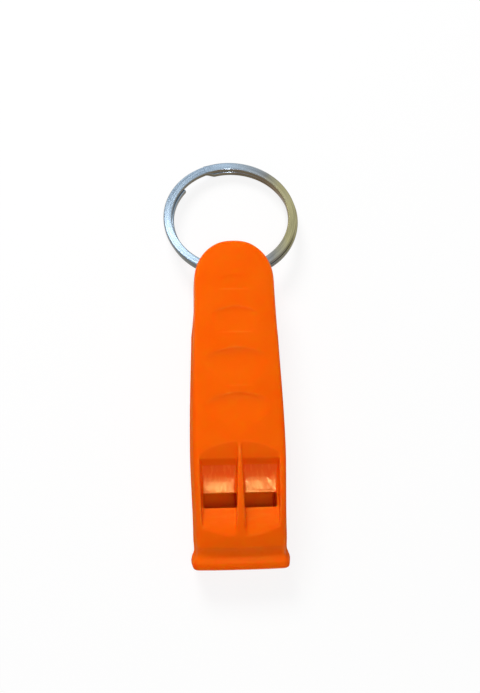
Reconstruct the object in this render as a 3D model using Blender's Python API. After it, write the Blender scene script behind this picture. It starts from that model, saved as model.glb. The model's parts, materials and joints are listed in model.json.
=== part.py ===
"""Flat rescue whistle with two tone chambers, moulded in two halves, on a steel split ring.

Metres, +Z up. The belly lies on Z = 0, the mouth points to -Y and the ring hangs at +Y.
Y = 0 is the labium edge, where the air jets split.
"""

import math

import bmesh
import bpy
import numpy as np
from mathutils import Vector
from mathutils.geometry import interpolate_bezier

# Side outline of the body
TOP_HEIGHT = 0.0136
PEAK_Y = 0.0094
BACK_RADIUS = 0.368
NOSE_RADIUS = 0.044
NOSE_END_Y = -0.0082
BELLY_FRONT_Y = -0.0042
TAIL_END_Y = 0.0528
TAIL_LIFT = 0.0016
LIFT_FROM_Y = 0.0335
LIFT_LENGTH = 0.0042

# Plan of the body: half widths along the edge of the top, and how far the walls flare below it
TAIL_HALF_WIDTH = 0.0083
BODY_HALF_WIDTH = 0.0091
NOSE_HALF_WIDTH = 0.0087
TAIL_ROUND_LENGTH = 0.0092
TAIL_ROUND_POWER = 2.15
BODY_FLARE = 0.00065
TAIL_FLARE = 0.0002
BELLY_TAPER = 0.0003

# Cross-section
CROWN_RADIUS = 0.037
TOP_EDGE_RADIUS = 0.0009
BELLY_EDGE_RADIUS = 0.0014
TAIL_EDGE_RADIUS = 0.0009

# Most that a corner or a taper may take of a narrow section's half width, or of the height to the seam
CORNER_SHARE = 0.8
TAPER_SHARE = 0.2
SEAM_SHARE = 0.6

# Mouthpiece, along an axis that points forward and down
MOUTH_ANGLE = math.radians(25)
LIP_Y = -0.0133
LIP_Z = 0.0033
LIP_HALF_HEIGHT = 0.00335
LIP_HALF_WIDTH = 0.00945
LIP_LENGTH = 0.0022
LIP_ROUND = 0.0008
NECK_HALF_HEIGHT = 0.0029
NECK_HALF_WIDTH = 0.0086
NECK_DISTANCE = 0.0030
LIP_CROWN = 0.25
LIP_FLAT_FROM = 0.6
NOSE_FULLNESS = 0.52
NECK_FULLNESS = 0.12
RIDGE_HEIGHT = 0.00016
RIDGE_AT = 0.40
RIDGE_SPAN = 0.22

# Windways, sound windows and labium; depths are below the highest point of the top
WINDWAY_HEIGHT = 0.0012
WINDWAY_ROOF_RISE = 0.00053
CUT_UP = 0.0028
ROOF_EDGE_DEPTH = 0.0043
ROOF_THICKNESS = 0.0008
LABIUM_DEPTH = 0.0047
LABIUM_EDGE = 0.00025
RAMP_LENGTH = 0.0054
RAMP_RISE = 0.0016
RAMP_SAG = 0.00035
DROP_HEIGHT = 0.0018
DROP_LENGTH = 0.0009
RIB_BACK_WIDTH = 0.0005
RIB_FRONT_WIDTH = 0.00155
RIB_DRAFT = 0.05
WINDOW_HALF_WIDTH = 0.0074
WINDOW_DRAFT = 0.10

# Tone chambers and other hollows
CAVITY_HALF_WIDTH = 0.0072
SEPTUM_WIDTH = 0.0010
FLOOR_WALL = 0.0014
TOP_WALL = 0.0020
LABIUM_WALL = 0.0013
LEFT_CHAMBER_LENGTH = 0.0245
RIGHT_CHAMBER_LENGTH = 0.0216
END_WALL = 0.0016
EYE_WALL = 0.0018

# Windway insert: a wedge that lies in a seat between the two halves
INSERT_FRONT_LAP = 0.0003
INSERT_FRONT_EDGE = 0.0008
INSERT_HEEL_Y = -0.0058
INSERT_TOE_Y = -0.0046
INSERT_BACK_DROP = 0.0016
INSERT_CLEARANCE = 0.0001

# Weld seam between the halves, and the tongue that lines them up
SEAM_GAP = 0.00015
TONGUE_WIDTH = 0.0008
TONGUE_HEIGHT = 0.0008
TONGUE_CLEARANCE = 0.0001
TONGUE_FROM_Y = 0.0010
TONGUE_LENGTH = 0.0180

# Grip dents across the top: a round edge towards the tail and a long soft rise towards the mouth,
# which would end this many times the depth above the deepest line; the length is the deepest dent's
DENT_EDGES_Y = (0.0193, 0.0287, 0.0376, 0.0449)
DENT_DEPTHS = (0.0006, 0.0006, 0.0003, 0.00012)
DENT_BACK_RADIUS = 0.0042
DENT_FRONT_LENGTH = 0.0058
DENT_FRONT_RISE = 1.08

# Eye for the ring
EYE_Y = 0.0484
EYE_Z = 0.0060
EYE_RADIUS = 0.0031
EYE_FLARE_DEPTH = 0.0010
EYE_FLARE_SLOPE = 0.6

# Split ring of flat wire, two turns that cross over in one place and lie a little aside from each other
RING_OUTER_RADIUS = 0.0146
RING_WIRE_WIDTH = 0.00185
RING_WIRE_THICKNESS = 0.0009
RING_TURN_GAP = 0.00042
RING_TURN_SHIFT = 0.0004
RING_WIRE_CORNER = 0.0002
RING_END_AT = math.radians(105)
RING_JOG_SPAN = math.radians(9)
RING_END_SPAN = math.radians(37)
RING_PULL = 0.0005
RING_TABLE_GAP = 0.00005

# Fineness of the curved faces
CROWN_STEPS = 20
CORNER_STEPS = 6
BACK_STEPS = 14
NOSE_STEPS = 13
TIP_STEPS = 25
LIP_STEPS = 6
TAIL_STEPS = 14
TAIL_END_ANGLE = math.radians(5)
RAMP_STEPS = 8
EYE_SIDES = 48
DENT_STEPS = 28
RING_STEPS_PER_TURN = 72
RING_JOG_STEPS = 10
SHARP_ANGLE = math.radians(28)

# How far cutters reach past the faces that they cut
PAST = 0.003

# Colours and surfaces
ORANGE = (0.93, 0.125, 0.006, 1.0)
STEEL = (0.58, 0.58, 0.56, 1.0)
SHELL_ROUGHNESS = 0.42
INSERT_ROUGHNESS = 0.30
STEEL_ROUGHNESS = 0.28


def smooth(t):
    """0 to 1 with level ends."""
    t = min(1.0, max(0.0, t))
    return t * t * (3 - 2 * t)


def between(a, b, t):
    return a + (b - a) * t


# Outline of the body

def top_z(y):
    """Height of the middle of the top."""
    if y >= PEAK_Y:
        return TOP_HEIGHT - (y - PEAK_Y) ** 2 / (2 * BACK_RADIUS)
    return TOP_HEIGHT - NOSE_RADIUS + math.sqrt(NOSE_RADIUS**2 - (PEAK_Y - y) ** 2)


def bottom_z(y):
    """Height of the underside: it rises towards the tail, and towards the neck of the mouthpiece."""
    neck_y, neck_z = lip_point(-NECK_DISTANCE, -NECK_HALF_HEIGHT)
    neck = neck_z * smooth((BELLY_FRONT_Y - y) / (BELLY_FRONT_Y - neck_y))
    return neck + TAIL_LIFT * smooth((y - LIFT_FROM_Y) / LIFT_LENGTH)


def seam_slope():
    return (EYE_Z - LIP_Z) / (EYE_Y - LIP_Y)


def seam_z(y):
    """Height of the plane where the halves meet: from the middle of the lip to the axis of the eye."""
    return LIP_Z + (y - LIP_Y) * seam_slope()


def half_width(y):
    """Half width of the body along the edge of its top: widest over the windows."""
    if y < PEAK_Y:
        return between(BODY_HALF_WIDTH, NOSE_HALF_WIDTH, smooth((PEAK_Y - y) / (PEAK_Y - NOSE_END_Y)))
    round_y = TAIL_END_Y - TAIL_ROUND_LENGTH
    return between(BODY_HALF_WIDTH, TAIL_HALF_WIDTH, smooth((y - PEAK_Y) / (round_y - PEAK_Y)))


def flare(y):
    """How far each wall stands out at the seam."""
    return between(BODY_FLARE, TAIL_FLARE, smooth((y - LIFT_FROM_Y) / LIFT_LENGTH))


def lip_point(along, up):
    """Point (y, z) of the mouthpiece, from the middle of the lip's front."""
    forward = (-math.cos(MOUTH_ANGLE), -math.sin(MOUTH_ANGLE))
    above = (-math.sin(MOUTH_ANGLE), math.cos(MOUTH_ANGLE))
    return (
        LIP_Y + along * forward[0] + up * above[0],
        LIP_Z + along * forward[1] + up * above[1],
    )


def rounding(depth, radius):
    """Inset of a rounded end, this far from the end."""
    if depth >= radius:
        return 0.0
    return radius - math.sqrt(radius**2 - (radius - depth) ** 2)


def tail_stations():
    """(top, bottom, half width, flare, crown) of the sections round the tail, from its end."""
    found = []
    for angle in np.linspace(math.pi / 2 - TAIL_END_ANGLE, 0, TAIL_STEPS):
        reach = math.sin(angle) ** (2 / TAIL_ROUND_POWER)
        y = TAIL_END_Y - TAIL_ROUND_LENGTH * (1 - reach)
        narrow = math.cos(angle) ** (2 / TAIL_ROUND_POWER)
        inset = rounding(TAIL_END_Y - y, TAIL_EDGE_RADIUS)
        top = (y, top_z(y) - inset)
        bottom = (y, bottom_z(y) + inset)
        found.append((top, bottom, half_width(y) * narrow, flare(y) * narrow, 1.0))
    return found


def nose_lean():
    """How far the section through the neck leans back at its lower end."""
    return 2 * NECK_HALF_HEIGHT * math.sin(MOUTH_ANGLE)


def body_stations():
    back = np.linspace(TAIL_END_Y - TAIL_ROUND_LENGTH, PEAK_Y, BACK_STEPS)[1:]
    nose = np.linspace(PEAK_Y, NOSE_END_Y, NOSE_STEPS)[1:]
    neck_y = lip_point(-NECK_DISTANCE, NECK_HALF_HEIGHT)[0]
    found = []
    for y in np.concatenate([back, nose]):
        lean = nose_lean() * max(0.0, (PEAK_Y - y) / (PEAK_Y - neck_y)) ** 2
        found.append(((y, top_z(y)), (y + lean, bottom_z(y + lean)), half_width(y), flare(y), 1.0))
    return found


def tip_stations(last):
    """Sections from the nose down to the neck of the mouthpiece, after the last one of the body."""
    (top_y, top_height), (low_y, _), width, out, _ = last
    neck_top = Vector(lip_point(-NECK_DISTANCE, NECK_HALF_HEIGHT))
    neck_low = Vector(lip_point(-NECK_DISTANCE, -NECK_HALF_HEIGHT))
    slope = math.asin((PEAK_Y - top_y) / NOSE_RADIUS)
    start = Vector((top_y, top_height))
    span = (neck_top - start).length
    leave = start + Vector((-math.cos(slope), -math.sin(slope))) * span * NOSE_FULLNESS
    arrive = neck_top + Vector((math.cos(MOUTH_ANGLE), math.sin(MOUTH_ANGLE))) * span * NECK_FULLNESS
    path = interpolate_bezier(start, leave, arrive, neck_top, TIP_STEPS)
    above = Vector((start.y - neck_top.y, neck_top.x - start.x)).normalized() * -RIDGE_HEIGHT
    found = []
    for step, point in enumerate(path[1:], start=1):
        t = step / (TIP_STEPS - 1)
        point = point + above * smooth(1 - abs(t - RIDGE_AT) / RIDGE_SPAN)
        y = between(low_y, neck_low.x, t)
        found.append(
            (
                (point.x, point.y),
                (y, bottom_z(y)),
                between(width, NECK_HALF_WIDTH, smooth(t)),
                out,
                between(1.0, LIP_CROWN, t),
            )
        )
    return found


def lip_stations():
    """Sections from the neck to the rounded front of the lip."""
    flat_from = LIP_LENGTH * LIP_FLAT_FROM
    rise = [(-between(NECK_DISTANCE, flat_from, t), smooth(t)) for t in np.linspace(0, 1, LIP_STEPS)[1:]]
    front = [(-LIP_ROUND * (1 - math.sin(a)), 1.0) for a in np.linspace(0, math.pi / 2, LIP_STEPS)]
    found = []
    for along, grown in rise + front:
        inset = rounding(-along, LIP_ROUND)
        height = between(NECK_HALF_HEIGHT, LIP_HALF_HEIGHT, grown) - inset
        width = between(NECK_HALF_WIDTH, LIP_HALF_WIDTH, grown) - inset
        top = lip_point(along, height)
        bottom = lip_point(along, -height)
        found.append((top, bottom, width, between(BODY_FLARE, BODY_FLARE / 2, grown), LIP_CROWN))
    return found


def stations():
    body = tail_stations() + body_stations()
    return body + tip_stations(body[-1]) + lip_stations()


# Sections: each is a loop of points in the plane that holds X and the line from bottom to top

def seam_height(top, bottom):
    """Height of the seam plane along the line from bottom to top."""
    dy = top[0] - bottom[0]
    dz = top[1] - bottom[1]
    share = (seam_z(bottom[0]) - bottom[1]) / (dz - seam_slope() * dy)
    return share * math.hypot(dy, dz)


def arc(centre, radius, start, end):
    """Points of an arc in the plane of a section."""
    return [
        (centre[0] + radius * math.cos(a), centre[1] + radius * math.sin(a))
        for a in np.linspace(start, end, CORNER_STEPS + 1)
    ]


def upper_outline(height, seam, half, out, crown):
    """Right seam edge, right corner, crown, left corner and left seam edge, as (x, height)."""
    radius = min(TOP_EDGE_RADIUS, CORNER_SHARE * half)
    slope = math.atan(crown * (half - radius) / CROWN_RADIUS)
    edge_x = half - radius + radius * math.sin(slope)

    def crown_height(x):
        return height - crown * (CROWN_RADIUS - math.sqrt(CROWN_RADIUS**2 - x * x))

    centre = (half - radius, crown_height(edge_x) - radius * math.cos(slope))
    corner = arc(centre, radius, 0, math.pi / 2 - slope)
    crown_points = [(x, crown_height(x)) for x in np.linspace(edge_x, -edge_x, CROWN_STEPS + 1)[1:-1]]
    right = [(half + out, seam)] + corner
    return right + crown_points + [(-x, h) for x, h in reversed(right)]


def lower_outline(seam, half, out):
    """Left seam edge, left corner, right corner and right seam edge, as (x, height)."""
    half = half + out
    floor_half = half - min(BELLY_TAPER, TAPER_SHARE * half)
    radius = min(BELLY_EDGE_RADIUS, CORNER_SHARE * floor_half, SEAM_SHARE * seam)
    corner = arc((floor_half - radius, radius), radius, -math.pi / 2, 0)
    right = corner + [(half, seam)]
    return [(-x, h) for x, h in reversed(right)] + right


def placed(outline, top, bottom):
    """Points in space of a section's outline."""
    up = Vector((0, top[0] - bottom[0], top[1] - bottom[1])).normalized()
    base = Vector((0, bottom[0], bottom[1]))
    return [base + up * h + Vector((x, 0, 0)) for x, h in outline]


def half_loops():
    """Loops of the upper half and of the lower half, from the tail to the lip."""
    upper = []
    lower = []
    for top, bottom, half, out, crown in stations():
        height = math.hypot(top[0] - bottom[0], top[1] - bottom[1])
        seam = seam_height(top, bottom)
        upper.append(placed(upper_outline(height, seam + SEAM_GAP / 2, half, out, crown), top, bottom))
        lower.append(placed(lower_outline(seam - SEAM_GAP / 2, half, out), top, bottom))
    return upper, lower


# Meshes

def new_object(name, bm, material=None):
    bmesh.ops.recalc_face_normals(bm, faces=bm.faces)
    mesh = bpy.data.meshes.new(name)
    bm.to_mesh(mesh)
    bm.free()
    obj = bpy.data.objects.new(name, mesh)
    bpy.context.scene.collection.objects.link(obj)
    if material:
        mesh.materials.append(material)
    return obj


def loft(name, loops, material=None):
    """Closed skin over a row of loops, with a flat face at each end."""
    bm = bmesh.new()
    rows = [[bm.verts.new(point) for point in loop] for loop in loops]
    count = len(rows[0])
    for near, far in zip(rows, rows[1:]):
        for i in range(count):
            j = (i + 1) % count
            bm.faces.new((near[i], near[j], far[j], far[i]))
    bm.faces.new(rows[0])
    bm.faces.new(list(reversed(rows[-1])))
    return new_object(name, bm, material)


def prism(name, outline, inner_x, outer_x, material=None):
    """Solid over an outline of (y, z) points, between two faces whose x may depend on the point."""
    near = [(inner_x(y, z), y, z) for y, z in outline]
    far = [(outer_x(y, z), y, z) for y, z in outline]
    return loft(name, [near, far], material)


def flat(x):
    return lambda y, z: x


def helper(obj):
    obj.hide_render = True
    obj.display_type = "WIRE"
    return obj


def combine(obj, other, operation):
    modifier = obj.modifiers.new(other.name, "BOOLEAN")
    modifier.operation = operation
    modifier.solver = "EXACT"
    modifier.object = other


def finish(obj):
    """Makes the Booleans final, and shades the curved faces smooth."""
    graph = bpy.context.evaluated_depsgraph_get()
    mesh = bpy.data.meshes.new_from_object(obj.evaluated_get(graph))
    obj.modifiers.clear()
    obj.data = mesh
    mesh.name = obj.name
    mesh.shade_smooth()
    mesh.set_sharp_from_angle(angle=SHARP_ANGLE)


# Air passages

def labium_z():
    """Height of the edge that splits the air."""
    return TOP_HEIGHT - LABIUM_DEPTH


def roof_edge_z():
    """Height of the upper edge in front of the sound slot."""
    return TOP_HEIGHT - ROOF_EDGE_DEPTH


def windway_angle():
    """Slope of the windways, whose roof leaves the lip just above its middle."""
    rise = roof_edge_z() - ROOF_THICKNESS - LIP_Z - WINDWAY_ROOF_RISE
    return math.atan2(rise, -CUT_UP - LIP_Y)


def windway_roof(y):
    return roof_edge_z() - ROOF_THICKNESS + (y + CUT_UP) * math.tan(windway_angle())


def windway_floor(y):
    return windway_roof(y) - WINDWAY_HEIGHT / math.cos(windway_angle())


def airway_outline(chamber):
    """Windway, sound slot and tone chamber of one side, as (y, z)."""
    mouth = LIP_Y - LIP_HALF_HEIGHT - PAST
    slot_top = max(roof_edge_z(), labium_z()) + ROOF_THICKNESS
    ramp_top = labium_z() + RAMP_RISE
    return [
        (mouth, windway_floor(mouth)),
        (mouth, windway_roof(mouth)),
        (-CUT_UP, windway_roof(-CUT_UP)),
        (-CUT_UP, slot_top),
        (0, slot_top),
        (0, labium_z() - LABIUM_EDGE),
        (RAMP_LENGTH, ramp_top - LABIUM_WALL),
        (PEAK_Y, TOP_HEIGHT - TOP_WALL),
        (chamber, top_z(chamber) - TOP_WALL),
        (chamber, FLOOR_WALL),
        (INSERT_TOE_Y, FLOOR_WALL),
        (-CUT_UP - INSERT_CLEARANCE, windway_floor(-CUT_UP - INSERT_CLEARANCE)),
    ]


def insert_front():
    """Front of the insert, just before the floor of the windways comes up through the seam."""
    below = LIP_Z - windway_floor(LIP_Y)
    return LIP_Y + below / (math.tan(windway_angle()) - seam_slope()) - INSERT_FRONT_LAP


def insert_outline(grow):
    """Side of the windway insert, or of its seat where grow is the clearance round it."""
    front = insert_front() - grow
    back = -CUT_UP + grow
    neck = lip_point(-NECK_DISTANCE, -NECK_HALF_HEIGHT)[0]
    edge = INSERT_FRONT_EDGE + grow / math.cos(windway_angle())
    foot = FLOOR_WALL + INSERT_CLEARANCE - grow
    return [
        (front, windway_floor(front) + grow),
        (back, windway_floor(back) + grow),
        (back, windway_floor(back) - INSERT_BACK_DROP),
        (INSERT_TOE_Y + grow, foot),
        (INSERT_HEEL_Y - grow, foot),
        (neck, windway_floor(neck) - edge),
        (front, windway_floor(front) - edge),
    ]


def hollow_outline():
    """Hollow between the longer chamber and the eye, which keeps the walls even."""
    front = max(LEFT_CHAMBER_LENGTH, RIGHT_CHAMBER_LENGTH) + END_WALL
    back = EYE_Y - EYE_RADIUS - EYE_WALL
    return [
        (front, bottom_z(front) + FLOOR_WALL),
        (front, top_z(front) - TOP_WALL),
        (back, top_z(back) - TOP_WALL),
        (back, bottom_z(back) + FLOOR_WALL),
    ]


def window_outline():
    """Side of the pocket above a window: front bevel, slot, hollow ramp, drop and rear bevel."""
    ramp = []
    for t in np.linspace(0, 1, RAMP_STEPS):
        sag = 4 * RAMP_SAG * t * (1 - t)
        ramp.append((RAMP_LENGTH * t, labium_z() + RAMP_RISE * t - sag))
    drop_y = RAMP_LENGTH + DROP_LENGTH
    drop_top = labium_z() + RAMP_RISE + DROP_HEIGHT
    bevel = (TOP_HEIGHT - drop_top) / (PEAK_Y - drop_y)
    front = (roof_edge_z() - top_z(NOSE_END_Y)) / (-CUT_UP - NOSE_END_Y)
    return (
        [(NOSE_END_Y - PAST, top_z(NOSE_END_Y) - front * PAST), (-CUT_UP, roof_edge_z())]
        + ramp
        + [
            (drop_y, drop_top),
            (PEAK_Y + PAST, TOP_HEIGHT + bevel * PAST),
            (NOSE_END_Y - PAST, TOP_HEIGHT + bevel * PAST),
        ]
    )


def rib_half(y, z):
    """Half width of the rib between the windows, wider towards the mouth and towards its foot."""
    crest = between(RIB_BACK_WIDTH, RIB_FRONT_WIDTH, (PEAK_Y - y) / (PEAK_Y - NOSE_END_Y))
    return crest / 2 + (TOP_HEIGHT - z) * RIB_DRAFT


def window_half(y, z):
    """Inner side of a window's outer wall, which leans outwards."""
    return WINDOW_HALF_WIDTH + (z - labium_z()) * WINDOW_DRAFT


def mirrored(side, shape):
    return lambda y, z: side * shape(y, z)


def side_cutters():
    """The window pockets and the air passages of the left and of the right side."""
    windows = []
    airways = []
    for side, name, chamber in ((-1, "left", LEFT_CHAMBER_LENGTH), (1, "right", RIGHT_CHAMBER_LENGTH)):
        windows.append(
            helper(
                prism(
                    f"cut_window_{name}",
                    window_outline(),
                    mirrored(side, rib_half),
                    mirrored(side, window_half),
                )
            )
        )
        airways.append(
            helper(
                prism(
                    f"cut_airway_{name}",
                    airway_outline(chamber),
                    flat(side * SEPTUM_WIDTH / 2),
                    flat(side * CAVITY_HALF_WIDTH),
                )
            )
        )
    return windows, airways


def wide_cutters():
    """The insert's seat and the hollow towards the tail, which go across both sides."""
    wide = flat(CAVITY_HALF_WIDTH)
    other = flat(-CAVITY_HALF_WIDTH)
    seat = helper(prism("cut_insert_seat", insert_outline(INSERT_CLEARANCE), other, wide))
    hollow = helper(prism("cut_tail_hollow", hollow_outline(), other, wide))
    return [seat, hollow]


def tongue_outline(grow):
    """Strip along the seam, from inside the lower half up into the upper half."""
    ends = (TONGUE_FROM_Y - grow, TONGUE_FROM_Y + TONGUE_LENGTH + grow)
    high = TONGUE_HEIGHT + SEAM_GAP / 2 + grow
    low = TONGUE_HEIGHT
    return [
        (ends[0], seam_z(ends[0]) - low),
        (ends[1], seam_z(ends[1]) - low),
        (ends[1], seam_z(ends[1]) + high),
        (ends[0], seam_z(ends[0]) + high),
    ]


def tongues(grow):
    """The two strips, which the air passages later cut flush with their walls."""
    inner = CAVITY_HALF_WIDTH - TONGUE_WIDTH
    outer = CAVITY_HALF_WIDTH + TONGUE_WIDTH + grow
    made = []
    for side in (-1, 1):
        name = f"tongue_{'rebate_' if grow else ''}{'right' if side > 0 else 'left'}"
        made.append(helper(prism(name, tongue_outline(grow), flat(side * inner), flat(side * outer))))
    return made


def circle(x, radius, y, z, sides):
    angles = np.linspace(0, 2 * math.pi, sides, endpoint=False)
    return [(x, y + radius * math.cos(a), z + radius * math.sin(a)) for a in angles]


def eye_cutter():
    """Tunnel from side to side, flared at both mouths."""
    mouth = TAIL_HALF_WIDTH + TAIL_FLARE - EYE_FLARE_DEPTH
    end = mouth + EYE_FLARE_DEPTH + PAST
    wide = EYE_RADIUS + (end - mouth) * EYE_FLARE_SLOPE
    rows = ((-end, wide), (-mouth, EYE_RADIUS), (mouth, EYE_RADIUS), (end, wide))
    return helper(loft("cut_eye", [circle(x, r, EYE_Y, EYE_Z, EYE_SIDES) for x, r in rows]))


def dent_outline(edge, depth):
    """Side of the bar that cuts a dent, as (y, z)."""
    y = edge - math.sqrt(2 * DENT_BACK_RADIUS * depth)
    z = top_z(y) - depth
    over = top_z(y) + PAST
    length = DENT_FRONT_LENGTH * math.sqrt(depth / max(DENT_DEPTHS))
    rise = [
        (y - length * t, z + depth * DENT_FRONT_RISE * smooth(t))
        for t in np.linspace(1, 0, DENT_STEPS)
    ]
    end = math.acos(1 - (over - z) / DENT_BACK_RADIUS)
    back = [
        (y + DENT_BACK_RADIUS * math.sin(a), z + DENT_BACK_RADIUS * (1 - math.cos(a)))
        for a in np.linspace(0, end, DENT_STEPS)
    ]
    return [(y - length, over)] + rise + back[1:]


def dent_cutters():
    """Bars laid across the crowned top: each leaves a dent with pointed ends."""
    made = []
    wide = flat(BODY_HALF_WIDTH + PAST)
    other = flat(-BODY_HALF_WIDTH - PAST)
    for i, (edge, depth) in enumerate(zip(DENT_EDGES_Y, DENT_DEPTHS)):
        made.append(helper(prism(f"cut_dent_{i + 1}", dent_outline(edge, depth), other, wide)))
    return made


# Split ring

def ring_layer():
    """Height of the upper turn's middle over the middle of the ring."""
    return (RING_WIRE_THICKNESS + RING_TURN_GAP) / 2


def ring_path():
    """(angle, height) along the wire: the upper turn, the crossing, then the lower turn."""
    layer = ring_layer()
    upper_end = RING_END_AT - 2 * math.pi + RING_JOG_SPAN
    lower_start = RING_END_AT - 2 * math.pi
    lower_end = RING_END_AT - 4 * math.pi + RING_END_SPAN
    upper = [(a, layer) for a in np.linspace(RING_END_AT, upper_end, RING_STEPS_PER_TURN)]
    crossing = [
        (between(upper_end, lower_start, t), layer * (1 - 2 * smooth(t)))
        for t in np.linspace(0, 1, RING_JOG_STEPS)[1:-1]
    ]
    lower = [(a, -layer) for a in np.linspace(lower_start, lower_end, RING_STEPS_PER_TURN)]
    return upper + crossing + lower


def wire_outline():
    """Section of the flat wire with its corners taken off, as (out, up)."""
    w = RING_WIRE_WIDTH / 2
    h = RING_WIRE_THICKNESS / 2
    c = RING_WIRE_CORNER
    right = [(w - c, -h), (w, -h + c), (w, h - c), (w - c, h)]
    return right + [(-x, -z) for x, z in right]


def ring_offset():
    """Distance from the axis of the eye to the ring's centre, a little over where its arc sits evenly."""
    mouth = TAIL_HALF_WIDTH
    inner = RING_OUTER_RADIUS - RING_WIRE_WIDTH
    return (RING_OUTER_RADIUS + math.sqrt(inner**2 - mouth**2)) / 2 + RING_PULL


def ring_loops():
    middle = RING_OUTER_RADIUS - RING_WIRE_WIDTH / 2
    loops = []
    for angle, height in ring_path():
        out = Vector((math.cos(angle), math.sin(angle), 0))
        aside = -height / ring_layer() * RING_TURN_SHIFT / 2
        centre = Vector((aside, ring_offset(), height))
        loops.append([centre + out * (middle + x) + Vector((0, 0, z)) for x, z in wire_outline()])
    return loops


def least_gap(loops):
    """Least distance between points of the wire that lie over half a turn apart along it."""
    points = np.array([[tuple(p) for p in loop] for loop in loops])
    apart = RING_STEPS_PER_TURN // 2
    least = math.inf
    for i in range(len(points) - apart):
        later = points[i + apart:].reshape(-1, 3)
        steps = points[i][:, None, :] - later[None, :, :]
        least = min(least, float(np.sqrt((steps**2).sum(axis=2)).min()))
    return least


def ring_rest_angle():
    """Downward tilt at which the ring's far end lies on the table."""
    far = ring_offset() + RING_OUTER_RADIUS
    half = RING_WIRE_THICKNESS + RING_TURN_GAP / 2
    drop = EYE_Z - RING_TABLE_GAP
    return math.asin(drop / math.hypot(far, half)) - math.atan2(half, far)


# The parts

def material(name, colour, roughness, metallic):
    made = bpy.data.materials.new(name)
    made.use_nodes = True
    shader = made.node_tree.nodes["Principled BSDF"]
    shader.inputs["Base Color"].default_value = colour
    shader.inputs["Roughness"].default_value = roughness
    shader.inputs["Metallic"].default_value = metallic
    return made


def clear_scene():
    for obj in list(bpy.data.objects):
        bpy.data.objects.remove(obj, do_unlink=True)


def make_shells(plastic):
    upper_loops, lower_loops = half_loops()
    upper = loft("upper_shell", upper_loops, plastic)
    lower = loft("lower_shell", lower_loops, plastic)
    windows, airways = side_cutters()
    eye = eye_cutter()
    inside = wide_cutters() + airways
    for tongue in tongues(0):
        combine(lower, tongue, "UNION")
    for cutter in inside + [eye]:
        combine(lower, cutter, "DIFFERENCE")
    for cutter in tongues(TONGUE_CLEARANCE) + inside + windows + dent_cutters() + [eye]:
        combine(upper, cutter, "DIFFERENCE")
    finish(upper)
    finish(lower)


def make_insert(plastic):
    half = CAVITY_HALF_WIDTH - INSERT_CLEARANCE
    insert = prism("windway_insert", insert_outline(0), flat(-half), flat(half), plastic)
    finish(insert)


def make_ring(steel):
    loops = ring_loops()
    ring = loft("split_ring", loops, steel)
    finish(ring)
    ring.location = (0, EYE_Y, EYE_Z)
    ring.rotation_euler = (-ring_rest_angle(), 0, 0)
    print(f"split ring: least gap between its turns {least_gap(loops) * 1000:.2f} mm")
    print(f"split ring: rests {math.degrees(ring_rest_angle()):.2f} degrees below level")


def main():
    clear_scene()
    plastic = material("orange_plastic", ORANGE, SHELL_ROUGHNESS, 0.0)
    inner_plastic = material("orange_insert_plastic", ORANGE, INSERT_ROUGHNESS, 0.0)
    steel = material("ring_steel", STEEL, STEEL_ROUGHNESS, 1.0)
    make_shells(plastic)
    make_insert(inner_plastic)
    make_ring(steel)
    for obj in [o for o in bpy.data.objects if o.hide_render]:
        bpy.data.objects.remove(obj, do_unlink=True)


main()
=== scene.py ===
"""Looks of the rescue whistle: satin orange moulded plastic and a plated steel split ring.

Metres, in the frame of the CAD part: the belly lies on Z = 0 and the mouth points to -Y.
"""

import json
import math

import bmesh
import bpy
import numpy as np
from mathutils import Matrix, Vector


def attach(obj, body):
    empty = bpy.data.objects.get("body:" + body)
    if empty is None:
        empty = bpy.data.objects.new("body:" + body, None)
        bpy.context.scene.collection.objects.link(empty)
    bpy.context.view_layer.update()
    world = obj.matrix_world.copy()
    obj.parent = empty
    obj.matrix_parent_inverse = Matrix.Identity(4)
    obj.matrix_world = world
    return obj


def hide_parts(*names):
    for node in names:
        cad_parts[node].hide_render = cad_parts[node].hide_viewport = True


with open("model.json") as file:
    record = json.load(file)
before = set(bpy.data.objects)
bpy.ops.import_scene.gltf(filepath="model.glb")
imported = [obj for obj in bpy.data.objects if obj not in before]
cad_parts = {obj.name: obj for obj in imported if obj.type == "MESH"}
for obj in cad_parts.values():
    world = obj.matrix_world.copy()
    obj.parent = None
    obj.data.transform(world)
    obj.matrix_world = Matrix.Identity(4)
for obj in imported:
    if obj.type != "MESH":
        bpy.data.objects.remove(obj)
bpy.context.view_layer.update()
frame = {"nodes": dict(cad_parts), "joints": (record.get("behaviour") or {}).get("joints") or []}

# Camera, found from the outline of the whistle and of the ring in the photograph
IMAGE_HEIGHT_PIXELS = 693
FOCAL_PIXELS = 900
SENSOR = 36.0
CAMERA_PLACE = (-0.00750, -0.02305, 0.18535)
CAMERA_ELEVATION = math.radians(73.1)
CAMERA_YAW = math.radians(-9)
CAMERA_ROLL = math.radians(7.63)
CAMERA_NEAREST = 0.01

# Skin of the plastic halves: fine remesh that rounds the moulded edges, and the share of its faces kept
VOXEL = 0.00016
SMOOTHING_PASSES = 6
SMOOTHING_FACTOR = 0.5
SKIN_SHARE_KEPT = 0.35

# Front edge of the sound windows, which fades into the nose
FADE_FROM_Y = -0.0100
FADE_TO_Y = -0.0060
FADE_MARGIN = 0.0008
FADE_LOWEST_Z = 0.0085
FADE_PASSES = 60

# Crisp edges of the grip dents: place of the edge, how much deeper it is cut, and its half width
DENTS = ((0.0193, 0.00010, 0.0062), (0.0287, 0.00010, 0.0062), (0.0376, 0.00016, 0.0047))
DENT_LENGTH = 0.0026
DENT_EDGE_SHARE = 0.15
DENT_EDGE_BEND = 63
DENT_LOWEST_Z = 0.0105
DENT_LEAST_UPWARD = 0.5

# Middle range of a noise, and white
NOISE_RANGE = (0.3, 0.7)
WHITE = (1, 1, 1, 1)

# Sockets of a Mix node that hold its two colours and the result
MIX_FIRST = 6
MIX_SECOND = 7
MIX_RESULT = 2

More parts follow.
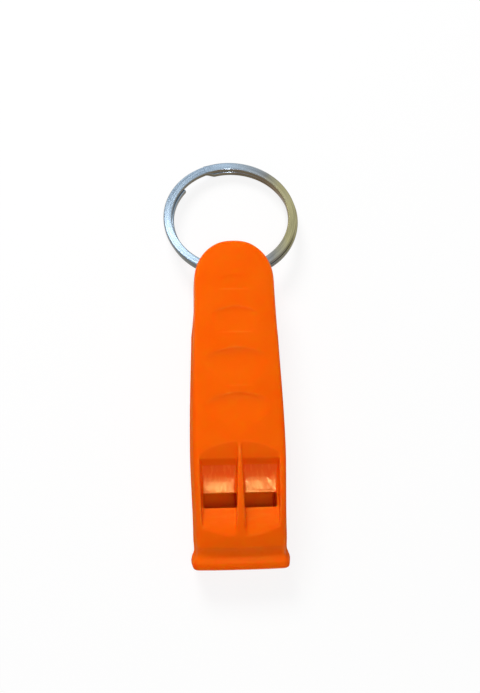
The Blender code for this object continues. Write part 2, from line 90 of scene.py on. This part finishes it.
# Light inside the plastic: how much scatters, how deep, and how much of that depth by colour
SCATTER_SHARE = 0.9
SCATTER_DEPTH = 0.0012
SCATTER_BY_COLOUR = (1.0, 0.10, 0.02)

# Moulded plastic: a pair is what a noise goes between, and a bump is its strength and its height
PLASTIC_COLOURS = ((0.98, 0.128, 0.001, 1), (1.0, 0.143, 0.002, 1))
PLASTIC_CLOUD_SCALE = 140
PLASTIC_GLOSS = 0.12
PLASTIC_GLOSS_TINT = (1.0, 0.45, 0.10, 1)
PLASTIC_ROUGHNESS = (0.30, 0.44)
PLASTIC_ROUGHNESS_SCALE = 420
PLASTIC_WAVE_SCALE = 260
PLASTIC_WAVE_BUMP = (0.10, 0.0004)
PLASTIC_GRAIN_SCALE = 5200
PLASTIC_GRAIN_BUMP = (0.05, 0.00005)

# Side walls with painted shade, darker than the top, and a rougher moulded face, and a mouthpiece with a
# smoother one
SIDE_X = (0.0082, 0.0089)
SIDE_PAINTED_SHADE = (0.86, 0.78, 0.78, 1)
SIDE_MORE_ROUGHNESS = 0.45
MOUTH_Y = (-0.0112, -0.0100)
MOUTH_MORE_ROUGHNESS = -0.08

# Worn edges of the plastic, paler, partly a painted highlight on the crests: how far a point stands out
# from its neighbours where that starts and is full
WEAR_AND_HIGHLIGHT_FROM = 0.000003
WEAR_AND_HIGHLIGHT_FULL = 0.000014
WEAR_AND_HIGHLIGHT_BLUR_PASSES = 3
WEAR_AND_HIGHLIGHT_COLOUR = (1.0, 0.200, 0.018, 1)
WEAR_AND_HIGHLIGHT_PATCH_SCALE = 500
WEAR_AND_HIGHLIGHT_LEAST_SHARE = 0.15
WEAR_AND_HIGHLIGHT_ATTRIBUTE = "worn_and_highlit"

# Faces in front of the sound slots, rubbed and scratched a little paler, partly a painted sheen: where that
# fades in and out
FRONT_START_Y = (-0.0076, -0.0046)
FRONT_STOP_Y = (-0.0024, -0.0022)
FRONT_SIDE_X = (0.0074, 0.0077)
FRONT_TOP_Z = (0.00985, 0.01000)
SCRATCH_STRETCH = (420, 1500, 420)
SCRATCH_RANGE = (0.42, 0.70)
SCRATCH_WEAR_AND_SHEEN = (0.22, 0.62)

# Polished ramps behind the sound slots
RAMP_LENGTH = 0.0054
RAMP_HALF_WIDTH = 0.0078
RAMP_LOW_Z = 0.0082
RAMP_HIGH_Z = 0.0107
RAMP_LEAST_UPWARD = 0.75
RAMP_COLOURS = ((1.0, 0.098, 0.001, 1), (1.0, 0.115, 0.002, 1))
RAMP_GLOSS = 0.45
RAMP_GLOSS_TINT = (1.0, 0.62, 0.20, 1)
RAMP_LINE_STRETCH = (1900, 500, 500)
RAMP_LINE_RANGE = (0.42, 0.58)
RAMP_LINE_BUMP = (0.08, 0.00006)
RAMP_CHATTER_STRETCH = (1800, 1300, 900)
RAMP_CHATTER_BUMP = (0.16, 0.00012)
RAMP_ROUGHNESS = (0.04, 0.28)

# Painted reflection on the plated steel: tints across the ring from left to right, blue to grey and straw
# as the surroundings reflect in it, which wander in patches
STEEL_PAINTED_REFLECTION = (
    (0.20, (0.34, 0.44, 0.54, 1)),
    (0.62, (0.42, 0.55, 0.69, 1)),
    (0.88, (0.31, 0.32, 0.31, 1)),
    (1.00, (0.44, 0.41, 0.22, 1)),
)
STEEL_REFLECTION_SPAN = 0.034
STEEL_TINT_WANDER = 0.30
STEEL_PATCH_SCALE = 120

# Painted dark reflection on the walls of the wire, by the share of the way round it: outer wall, flat,
# inner wall, flat, outer wall
OUTER_WALL_PAINTED_REFLECTION = (0.34, 0.28, 0.20, 1)
INNER_WALL_PAINTED_REFLECTION = (0.42, 0.27, 0.14, 1)
WALL_PAINTED_REFLECTIONS = (
    (0.06, OUTER_WALL_PAINTED_REFLECTION),
    (0.13, WHITE),
    (0.37, WHITE),
    (0.44, INNER_WALL_PAINTED_REFLECTION),
    (0.56, INNER_WALL_PAINTED_REFLECTION),
    (0.63, WHITE),
    (0.87, WHITE),
    (0.94, OUTER_WALL_PAINTED_REFLECTION),
)

# Drawn streaks and finer lines along the wire
STREAK_STRETCH = (110, 14, 1)
STREAK_TINTS = ((0.36, (0.66, 0.67, 0.69, 1)), (0.64, WHITE))
STEEL_LINE_STRETCH = (160, 60, 1)
STEEL_LINE_BUMP = (0.02, 0.00003)
STEEL_ROUGHNESS = (0.12, 0.22)

# Wire of the split ring
RING_RADIUS = 0.01458
RING_INSET = 0.00003
RING_STEPS_PER_TURN = 200
RING_SHARP_FROM = math.radians(50)
WIRE_WIDTH = 0.00185
WIRE_EDGE_RADIUS = 0.00022
WIRE_EDGE_STEPS = 4
WIRE_EDGE_SUPPORT = 0.00005
TURN_GAP = 0.00008
TURN_SHIFT = 0.0004
TOP_END_AT = math.radians(105)
JOG_SPAN = math.radians(9)
END_SPAN = math.radians(37)
JOG_STEPS = 24
TIP_FROM = 0.12
END_TINT = 0.25

# Stage
FLOOR_SIZE = 3.0
FLOOR_DROP = 0.0001
FLOOR_COLOUR = (0.97, 0.97, 0.97, 1)
FLOOR_ROUGHNESS = 0.9
FLOOR_WHITE_SHARE = 0.82
WORLD_STRENGTH = 0.24
OBJECT_MIDDLE = (0.0, 0.02, 0.006)

# Soft lamps: name, direction from the object, distance, size, power, and whether reflections show it
LAMPS = (
    ("key", (-0.27, 0.70, 0.66), 0.6, (0.255, 0.255), 2.25, False),
    ("fill", (0.0, -0.34, 0.94), 0.6, (0.20, 0.20), 0.36, False),
    ("top", (0.043, -0.26, 0.965), 0.55, (0.05, 0.244), 0.80, True),
    ("glint", (-0.075, 0.70, 0.71), 0.6, (0.05, 0.05), 0.045, True),
)


# Node helpers

def add(tree, kind, **values):
    """Node of a kind, with its inputs set by name and its other settings by attribute."""
    node = tree.nodes.new(kind)
    for key, value in values.items():
        name = key.replace("_", " ")
        if name in node.inputs:
            node.inputs[name].default_value = value
        else:
            setattr(node, key, value)
    return node


def new_material(name, **sockets):
    """Material with one Principled shader, and that shader with its constant values set."""
    made = bpy.data.materials.new(name)
    made.use_nodes = True
    shader = made.node_tree.nodes["Principled BSDF"]
    for key, value in sockets.items():
        shader.inputs[key.replace("_", " ")].default_value = value
    return made, made.node_tree, shader


def object_coordinates(tree):
    return add(tree, "ShaderNodeTexCoord").outputs["Object"]


def axes_of(tree, vector):
    """The vector's X, Y and Z outputs, by name."""
    node = add(tree, "ShaderNodeSeparateXYZ")
    tree.links.new(vector, node.inputs["Vector"])
    return node.outputs


def noise(tree, vector, scale, detail):
    node = add(tree, "ShaderNodeTexNoise", Scale=scale, Detail=detail)
    tree.links.new(vector, node.inputs["Vector"])
    return node.outputs["Fac"]


def stretched_noise(tree, vector, stretch, detail):
    """Noise with its own scale along each axis, for streaks."""
    node = add(tree, "ShaderNodeMapping", Scale=stretch)
    tree.links.new(vector, node.inputs["Vector"])
    return noise(tree, node.outputs["Vector"], 1.0, detail)


def ramp(tree, factor, stops):
    """Colour ramp through (position, colour) stops."""
    node = tree.nodes.new("ShaderNodeValToRGB")
    elements = node.color_ramp.elements
    while len(elements) < len(stops):
        elements.new(0.5)
    for element, (position, colour) in zip(elements, stops):
        element.position = position
        element.color = colour
    tree.links.new(factor, node.inputs["Fac"])
    return node.outputs["Color"]


def spread(tree, factor, results, source=NOISE_RANGE):
    """The factor's source range laid over the range of results, and held at its ends."""
    node = add(tree, "ShaderNodeMapRange")
    node.inputs["From Min"].default_value, node.inputs["From Max"].default_value = source
    node.inputs["To Min"].default_value, node.inputs["To Max"].default_value = results
    tree.links.new(factor, node.inputs["Value"])
    return node.outputs["Result"]


def combined(tree, operation, *parts):
    """The parts taken together, one after another, by a Math operation."""
    result = parts[0]
    for part in parts[1:]:
        node = add(tree, "ShaderNodeMath", operation=operation)
        tree.links.new(result, node.inputs[0])
        tree.links.new(part, node.inputs[1])
        result = node.outputs["Value"]
    return result


def scaled_sum(tree, value, scale, added):
    """The value times a number, plus a number or another output."""
    node = add(tree, "ShaderNodeMath", operation="MULTIPLY_ADD")
    tree.links.new(value, node.inputs[0])
    node.inputs[1].default_value = scale
    if isinstance(added, float):
        node.inputs[2].default_value = added
    else:
        tree.links.new(added, node.inputs[2])
    return node.outputs["Value"]


def multiplied(tree, colour, tint):
    """One colour times another."""
    node = add(tree, "ShaderNodeMix", data_type="RGBA", blend_type="MULTIPLY")
    node.inputs["Factor"].default_value = 1.0
    tree.links.new(colour, node.inputs[MIX_FIRST])
    tree.links.new(tint, node.inputs[MIX_SECOND])
    return node.outputs[MIX_RESULT]


def bump(tree, shader, layers):
    """Bump from (height, (strength, distance)) layers, chained."""
    normal = None
    for height, (strength, distance) in layers:
        node = add(tree, "ShaderNodeBump", Strength=strength, Distance=distance)
        tree.links.new(height, node.inputs["Height"])
        if normal:
            tree.links.new(normal, node.inputs["Normal"])
        normal = node.outputs["Normal"]
    tree.links.new(normal, shader.inputs["Normal"])


def white_where_seen(tree, lit, white, share, output):
    """Mixes in white, up to a share, for rays from the camera, a mirror or glass, and links the output."""
    path = tree.nodes.new("ShaderNodeLightPath")
    rays = [path.outputs[f"Is {kind} Ray"] for kind in ("Camera", "Glossy", "Transmission")]
    part = add(tree, "ShaderNodeMath", operation="MULTIPLY")
    part.inputs[1].default_value = share
    tree.links.new(combined(tree, "MAXIMUM", *rays), part.inputs[0])
    mix = tree.nodes.new("ShaderNodeMixShader")
    tree.links.new(part.outputs["Value"], mix.inputs["Fac"])
    tree.links.new(lit, mix.inputs[1])
    tree.links.new(white, mix.inputs[2])
    tree.links.new(mix.outputs["Shader"], output.inputs["Surface"])


# Materials

def aside_of(tree, place):
    """Distance from the middle plane."""
    aside = add(tree, "ShaderNodeMath", operation="ABSOLUTE")
    tree.links.new(axes_of(tree, place)["X"], aside.inputs[0])
    return aside.outputs["Value"]


def scratched_and_sheen_front(tree, place):
    """Share of wear and painted sheen on the faces in front of the sound slots."""
    axes = axes_of(tree, place)
    scratches = stretched_noise(tree, place, SCRATCH_STRETCH, detail=4)
    return combined(
        tree,
        "MULTIPLY",
        spread(tree, axes["Y"], (0.0, 1.0), FRONT_START_Y),
        spread(tree, axes["Y"], (1.0, 0.0), FRONT_STOP_Y),
        spread(tree, axes["Z"], (1.0, 0.0), FRONT_TOP_Z),
        spread(tree, aside_of(tree, place), (1.0, 0.0), FRONT_SIDE_X),
        spread(tree, scratches, SCRATCH_WEAR_AND_SHEEN, SCRATCH_RANGE),
    )


def worn_and_highlit_colour(tree, place, colour):
    """The colour made paler for wear, partly a painted highlight, on the edges stored on the mesh, and on
    the scratched faces with their painted sheen.
    """
    patches = noise(tree, place, WEAR_AND_HIGHLIGHT_PATCH_SCALE, detail=3)
    uneven = spread(tree, patches, (WEAR_AND_HIGHLIGHT_LEAST_SHARE, 1.0))
    stored = add(tree, "ShaderNodeAttribute", attribute_name=WEAR_AND_HIGHLIGHT_ATTRIBUTE).outputs["Fac"]
    edges = combined(tree, "MULTIPLY", stored, uneven)
    mix = add(tree, "ShaderNodeMix", data_type="RGBA")
    tree.links.new(combined(tree, "MAXIMUM", edges, scratched_and_sheen_front(tree, place)), mix.inputs["Factor"])
    tree.links.new(colour, mix.inputs[MIX_FIRST])
    mix.inputs[MIX_SECOND].default_value = WEAR_AND_HIGHLIGHT_COLOUR
    return mix.outputs[MIX_RESULT]


def roughness_by_place(tree, place):
    """Uneven roughness, with more of it on the side walls and less on the mouthpiece, which lips polish."""
    uneven = spread(tree, noise(tree, place, PLASTIC_ROUGHNESS_SCALE, detail=4), PLASTIC_ROUGHNESS)
    walls = spread(tree, aside_of(tree, place), (0.0, SIDE_MORE_ROUGHNESS), SIDE_X)
    lips = spread(tree, axes_of(tree, place)["Y"], (MOUTH_MORE_ROUGHNESS, 0.0), MOUTH_Y)
    return combined(tree, "ADD", uneven, walls, lips)


def plastic_of(name, gloss, gloss_tint):
    """Plastic that light goes into, still with a single colour."""
    return new_material(
        name,
        Specular_IOR_Level=gloss,
        Specular_Tint=gloss_tint,
        Subsurface_Weight=SCATTER_SHARE,
        Subsurface_Radius=SCATTER_BY_COLOUR,
        Subsurface_Scale=SCATTER_DEPTH,
    )


def plastic_material():
    """Satin moulded plastic: flow clouds in the colour, painted shade on the side walls, paler wear with a
    painted highlight on its crests, a painted sheen in front of the slots, uneven sheen and a fine moulded
    grain.
    """
    made, tree, shader = plastic_of("orange_plastic", PLASTIC_GLOSS, PLASTIC_GLOSS_TINT)
    place = object_coordinates(tree)
    clouds = noise(tree, place, PLASTIC_CLOUD_SCALE, detail=3)
    colour = ramp(tree, clouds, list(zip(NOISE_RANGE, PLASTIC_COLOURS)))
    # painted shade: the side walls darker than the top
    # painted shade: the side walls darker than the top
    sides = spread(tree, aside_of(tree, place), (0.0, 1.0), SIDE_X)
    walls = ramp(tree, sides, [(0.0, WHITE), (1.0, SIDE_PAINTED_SHADE)])
    # paler wear, partly a painted highlight on crests and a painted sheen in front of the slots
    worn_and_highlit = worn_and_highlit_colour(tree, place, colour)
    tree.links.new(multiplied(tree, worn_and_highlit, walls), shader.inputs["Base Color"])
    tree.links.new(roughness_by_place(tree, place), shader.inputs["Roughness"])
    waves = noise(tree, place, PLASTIC_WAVE_SCALE, detail=2)
    grain = noise(tree, place, PLASTIC_GRAIN_SCALE, detail=2)
    bump(tree, shader, [(waves, PLASTIC_WAVE_BUMP), (grain, PLASTIC_GRAIN_BUMP)])
    return made


def ramp_material():
    """Polished plastic with fine drawn lines along the air's way."""
    made, tree, shader = plastic_of("polished_ramp_plastic", RAMP_GLOSS, RAMP_GLOSS_TINT)
    place = object_coordinates(tree)
    lines = stretched_noise(tree, place, RAMP_LINE_STRETCH, detail=3)
    chatter = stretched_noise(tree, place, RAMP_CHATTER_STRETCH, detail=2)
    colour = ramp(tree, lines, list(zip(NOISE_RANGE, RAMP_COLOURS)))
    tree.links.new(colour, shader.inputs["Base Color"])
    tree.links.new(spread(tree, lines, RAMP_ROUGHNESS, RAMP_LINE_RANGE), shader.inputs["Roughness"])
    bump(tree, shader, [(chatter, RAMP_CHATTER_BUMP), (lines, RAMP_LINE_BUMP)])
    return made


def steel_material():
    """Plated spring steel: a painted reflection from blue to straw across the ring, wandering in patches,
    painted dark reflection on the wire's walls, and streaks and lines along the wire.
    """
    made, tree, shader = new_material("plated_steel", Metallic=1.0)
    place = object_coordinates(tree)
    # painted reflection: the tint follows the place across the ring, from left to right
    across = scaled_sum(tree, axes_of(tree, place)["X"], 1 / STEEL_REFLECTION_SPAN, 0.5)
    patches = noise(tree, place, STEEL_PATCH_SCALE, detail=2)
    colour = ramp(tree, scaled_sum(tree, patches, STEEL_TINT_WANDER, across), STEEL_PAINTED_REFLECTION)
    along = add(tree, "ShaderNodeUVMap").outputs["UV"]
    # painted dark reflection on the wire's inner and outer walls
    walls = ramp(tree, axes_of(tree, along)["Y"], WALL_PAINTED_REFLECTIONS)
    drawn = ramp(tree, stretched_noise(tree, along, STREAK_STRETCH, detail=3), STREAK_TINTS)
    painted_reflection_streaked = multiplied(tree, colour, drawn)
    tree.links.new(multiplied(tree, painted_reflection_streaked, walls), shader.inputs["Base Color"])
    lines = stretched_noise(tree, along, STEEL_LINE_STRETCH, detail=3)
    tree.links.new(spread(tree, lines, STEEL_ROUGHNESS), shader.inputs["Roughness"])
    bump(tree, shader, [(lines, STEEL_LINE_BUMP)])
    return made


# Shape helpers

def new_object(name, data):
    """Object in the scene with its mesh, lamp or camera data."""
    made = bpy.data.objects.new(name, data)
    bpy.context.scene.collection.objects.link(made)
    return made


def smooth_step(t):
    return t * t * (3 - 2 * t)


def read_vectors(items, name):
    """One vector attribute of many mesh elements, as an array of rows."""
    values = np.empty(len(items) * 3, dtype=np.float32)
    items.foreach_get(name, values)
    return values.reshape(-1, 3)


def apply_modifiers(piece):
    graph = bpy.context.evaluated_depsgraph_get()
    mesh = bpy.data.meshes.new_from_object(piece.evaluated_get(graph))
    piece.modifiers.clear()
    piece.data = mesh
    mesh.name = piece.name


def soften_surface(piece, passes, group=""):
    soften = piece.modifiers.new("soften", "SMOOTH")
    soften.factor = SMOOTHING_FACTOR
    soften.iterations = passes
    soften.vertex_group = group


# Plastic halves

def skin_of(node, name):
    """Fine closed mesh over a CAD node, with its sharp edges rounded as in a mould."""
    piece = new_object(name, frame["nodes"][node].data.copy())
    piece.data.materials.clear()
    remesh = piece.modifiers.new("skin", "REMESH")
    remesh.mode = "VOXEL"
    remesh.voxel_size = VOXEL
    remesh.use_smooth_shade = True
    soften_surface(piece, SMOOTHING_PASSES)
    apply_modifiers(piece)
    piece.data.shade_smooth()
    return piece


def fade_window_edge(piece):
    """Rounds the front edge of the sound windows much more than the other edges."""
    group = piece.vertex_groups.new(name="window_edge")
    for vertex in piece.data.vertices:
        _, y, z = vertex.co
        inside = min(y - FADE_FROM_Y, FADE_TO_Y - y) / FADE_MARGIN
        if inside > 0 and z > FADE_LOWEST_Z:
            group.add([vertex.index], min(1.0, inside), "REPLACE")
    soften_surface(piece, FADE_PASSES, group.name)
    apply_modifiers(piece)
    piece.vertex_groups.clear()


def sharpen_dents(piece):
    """Cuts the tail edge of each grip dent a little deeper, along a line that bends towards the mouth."""
    vertices = piece.data.vertices
    places = read_vectors(vertices, "co")
    upward = read_vectors(vertices, "normal")[:, 2] > DENT_LEAST_UPWARD
    on_top = upward & (places[:, 2] > DENT_LOWEST_Z)
    x, y = places[:, 0], places[:, 1]
    for edge, depth, half_width in DENTS:
        along = (edge - DENT_EDGE_BEND * x * x - y) / DENT_LENGTH
        inside = on_top & (along > 0) & (along < 1) & (abs(x) < half_width)
        near = smooth_step(np.clip(along / DENT_EDGE_SHARE, 0, 1))
        far = 1 - smooth_step(np.clip(along, 0, 1))
        cut = depth * near * far * (1 - (x / half_width) ** 2)
        places[:, 2] -= np.where(inside, cut, 0)
    vertices.foreach_set("co", places.ravel())
    piece.data.update()


def mark_worn_and_highlit_edges(piece):
    """Stores, from 0 to 1, how far each point of the even skin stands out from its neighbours: the share of
    paler wear and painted highlight on its crests.
    """
    mesh = piece.data
    ends = np.empty(len(mesh.edges) * 2, dtype=np.int32)
    mesh.edges.foreach_get("vertices", ends)
    near, far = ends.reshape(-1, 2).T
    count = len(mesh.vertices)
    neighbours = np.bincount(ends, minlength=count)

    def mean_beside(values):
        total = np.bincount(near, values[far], count) + np.bincount(far, values[near], count)
        return total / neighbours

    places = read_vectors(mesh.vertices, "co").astype(float)
    means = np.stack([mean_beside(places[:, axis]) for axis in range(3)], axis=1)
    proud = ((places - means) * read_vectors(mesh.vertices, "normal")).sum(axis=1)
    worn_and_highlit = np.clip((proud - WEAR_AND_HIGHLIGHT_FROM) / (WEAR_AND_HIGHLIGHT_FULL - WEAR_AND_HIGHLIGHT_FROM), 0, 1)
    for _ in range(WEAR_AND_HIGHLIGHT_BLUR_PASSES):
        worn_and_highlit = (worn_and_highlit + mean_beside(worn_and_highlit)) / 2
    stored = mesh.attributes.new(WEAR_AND_HIGHLIGHT_ATTRIBUTE, "FLOAT", "POINT")
    stored.data.foreach_set("value", worn_and_highlit.astype(np.float32))


def thin_skin(piece):
    """Takes away the faces that the flat places don't need."""
    thin = piece.modifiers.new("thin", "DECIMATE")
    thin.ratio = SKIN_SHARE_KEPT
    apply_modifiers(piece)
    piece.data.shade_smooth()


def mark_ramps(piece, slot):
    """Gives the faces of the polished ramps their own material slot."""
    for face in piece.data.polygons:
        x, y, z = face.center
        inside = 0 < y < RAMP_LENGTH and abs(x) < RAMP_HALF_WIDTH and RAMP_LOW_Z < z < RAMP_HIGH_Z
        if inside and face.normal.z > RAMP_LEAST_UPWARD:
            face.material_index = slot


def dress_halves():
    """Skins in place of both halves, and the plastic's material on the windway block."""
    plastic = plastic_material()
    for node, name in (("upper_shell", "upper_housing"), ("lower_shell", "lower_housing")):
        piece = skin_of(node, name)
        has_windows = node == "upper_shell"
        if has_windows:
            fade_window_edge(piece)
            sharpen_dents(piece)
        # paler wear and a painted highlight where the skin stands out
        mark_worn_and_highlit_edges(piece)
        thin_skin(piece)
        materials = piece.data.materials
        materials.append(plastic)
        if has_windows:
            materials.append(ramp_material())
            mark_ramps(piece, len(materials) - 1)
        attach(piece, "whistle")
        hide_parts(node)
    insert = frame["nodes"]["windway_insert"]
    insert.data.materials.clear()
    insert.data.materials.append(plastic)


# Split ring

def ring_frame():
    """Hinge's place with the ring's tilt, and the centre's distance, whole thickness and lift there."""
    hinge = Vector(frame["joints"][0]["pos_m"])
    points = np.array([v.co for v in frame["nodes"]["split_ring"].data.vertices]) - np.array(hinge)
    _, _, axes = np.linalg.svd(points[:, 1:] - points[:, 1:].mean(axis=0), full_matrices=False)
    out = axes[0] * math.copysign(1, axes[0][0])
    up = np.array((-out[1], out[0]))
    along = points[:, 1:] @ out
    across = points[:, 1:] @ up
    place = Matrix.Translation(hinge) @ Matrix.Rotation(math.atan2(out[1], out[0]), 4, "X")
    offset = along.max() - RING_RADIUS - RING_INSET
    thickness = across.max() - across.min()
    lift = (across.max() + across.min()) / 2
    return place, offset, thickness, lift


def ring_path(layer):
    """Upper turn, crossing and lower turn of the wire, as (angle, height, share of the thickness)."""
    crossing_at = TOP_END_AT - 2 * math.pi + JOG_SPAN
    lower_start = TOP_END_AT - 2 * math.pi
    lower_end = TOP_END_AT - 4 * math.pi + END_SPAN
    path = []
    for t in np.linspace(TIP_FROM, 1, JOG_STEPS)[:-1]:
        path.append((TOP_END_AT + JOG_SPAN * (1 - t), layer, smooth_step(t)))
    path += [(a, layer, 1.0) for a in np.linspace(TOP_END_AT, crossing_at, RING_STEPS_PER_TURN)]
    for t in np.linspace(0, 1, JOG_STEPS)[1:-1]:
        path.append((crossing_at - JOG_SPAN * t, layer * (1 - 2 * smooth_step(t)), 1.0))
    path += [(a, -layer, 1.0) for a in np.linspace(lower_start, lower_end, RING_STEPS_PER_TURN)]
    return path


def wire_section(width, thickness):
    """Rounded rectangle as (out, up), with a point close beside each corner to keep its sides flat."""
    corner = WIRE_EDGE_RADIUS
    points = []
    for quarter, (sx, sz) in enumerate(((1, 1), (-1, 1), (-1, -1), (1, -1))):
        middle = Vector((sx * (width / 2 - corner), sz * (thickness / 2 - corner)))
        start = quarter * math.pi / 2
        angles = np.linspace(start, start + math.pi / 2, WIRE_EDGE_STEPS + 1)
        arc = [middle + corner * Vector((math.cos(a), math.sin(a))) for a in angles]
        along = [WIRE_EDGE_SUPPORT * Vector((-math.sin(a), math.cos(a))) for a in angles]
        points += [arc[0] - along[0]] + arc + [arc[-1] + along[-1]]
    return points


def way_round(section):
    """Share of the way round the section at each point, from the outer wall's middle and back to it."""
    steps = [math.dist(p, q) for p, q in zip(section, section[1:] + section[:1])]
    return np.cumsum([steps[-1] / 2] + steps) / sum(steps)


def ring_mesh():
    """Wire swept along its path, with UVs along it and round it for the drawn lines and the walls."""
    place, offset, total, lift = ring_frame()
    thickness = (total - TURN_GAP) / 2
    layer = (thickness + TURN_GAP) / 2
    top = thickness / 2
    middle = RING_RADIUS - WIRE_WIDTH / 2
    section = wire_section(WIRE_WIDTH, thickness)
    bm = bmesh.new()
    rows = []
    for angle, height, share in ring_path(layer):
        out = Vector((math.cos(angle), math.sin(angle), 0))
        centre = Vector((-height / layer * TURN_SHIFT / 2, offset, height + lift))
        row = []
        for x, z in section:
            point = centre + out * (middle + x) + Vector((0, 0, top + (z - top) * share))
            row.append(bm.verts.new(place @ point))
        rows.append(row)
    uv = bm.loops.layers.uv.new("wire")
    shares = way_round(section)
    count = len(section)
    step = 2 * math.pi * middle / RING_STEPS_PER_TURN
    for i, (near, far) in enumerate(zip(rows, rows[1:])):
        for j in range(count):
            face = bm.faces.new((near[j], near[(j + 1) % count], far[(j + 1) % count], far[j]))
            corners = ((i, j), (i, j + 1), (i + 1, j + 1), (i + 1, j))
            for loop, (a, b) in zip(face.loops, corners):
                loop[uv].uv = (a * step, shares[b])
    for face in (bm.faces.new(reversed(rows[0])), bm.faces.new(rows[-1])):
        for loop in face.loops:
            loop[uv].uv = (0, END_TINT)
    bmesh.ops.recalc_face_normals(bm, faces=bm.faces)
    mesh = bpy.data.meshes.new("key_ring")
    bm.to_mesh(mesh)
    bm.free()
    mesh.shade_smooth()
    mesh.set_sharp_from_angle(angle=RING_SHARP_FROM)
    return mesh


def build_ring():
    ring = new_object("key_ring", ring_mesh())
    ring.data.materials.append(steel_material())
    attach(ring, "ring")
    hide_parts("split_ring")


# Stage

def floor_material():
    """Pale floor: white to the camera and to reflections, with part of the shadow kept."""
    made, tree, shader = new_material(
        "pale_floor",
        Base_Color=FLOOR_COLOUR,
        Roughness=FLOOR_ROUGHNESS,
        Specular_IOR_Level=0.0,
    )
    white = add(tree, "ShaderNodeEmission", Color=WHITE, Strength=1.0).outputs["Emission"]
    output = tree.nodes["Material Output"]
    white_where_seen(tree, shader.outputs["BSDF"], white, FLOOR_WHITE_SHARE, output)
    return made


def build_floor():
    mesh = bpy.data.meshes.new("floor")
    half = FLOOR_SIZE / 2
    corners = ((-half, -half), (half, -half), (half, half), (-half, half))
    mesh.from_pydata([(x, y, -FLOOR_DROP) for x, y in corners], [], [(0, 1, 2, 3)])
    mesh.materials.append(floor_material())
    floor = new_object("floor", mesh)


def build_lamp(name, direction, distance, size, power, mirrored):
    """Oval soft lamp that looks at the object from a direction, and may be left out of reflections."""
    place = Vector(OBJECT_MIDDLE) + Vector(direction).normalized() * distance
    light = bpy.data.lights.new(name, "AREA")
    light.shape = "ELLIPSE"
    light.size, light.size_y = size
    light.energy = power
    lamp = new_object(name, light)
    lamp.location = place
    lamp.visible_glossy = mirrored
    lamp.rotation_euler = (Vector(OBJECT_MIDDLE) - place).to_track_quat("-Z", "Y").to_euler()


def build_world():
    """Even light, and white where the camera or a reflection looks past the floor."""
    world = bpy.data.worlds.new("studio")
    bpy.context.scene.world = world
    world.use_nodes = True
    tree = world.node_tree
    even = tree.nodes["Background"]
    even.inputs["Color"].default_value = WHITE
    even.inputs["Strength"].default_value = WORLD_STRENGTH
    white = add(tree, "ShaderNodeBackground", Color=WHITE, Strength=1.0).outputs["Background"]
    white_where_seen(tree, even.outputs["Background"], white, 1.0, tree.nodes["World Output"])


def build_camera():
    data = bpy.data.cameras.new("camera")
    data.sensor_width = SENSOR
    data.lens = FOCAL_PIXELS / IMAGE_HEIGHT_PIXELS * SENSOR
    data.clip_start = CAMERA_NEAREST
    camera = new_object("camera", data)
    camera.matrix_world = (
        Matrix.Translation(CAMERA_PLACE)
        @ Matrix.Rotation(CAMERA_YAW, 4, "Z")
        @ Matrix.Rotation(math.pi / 2 - CAMERA_ELEVATION, 4, "X")
        @ Matrix.Rotation(CAMERA_ROLL, 4, "Z")
    )
    bpy.context.scene.camera = camera


def build_stage():
    build_floor()
    for lamp in LAMPS:
        build_lamp(*lamp)
    build_world()
    build_camera()
    bpy.context.scene.view_settings.view_transform = "Standard"


dress_halves()
build_ring()
build_stage()
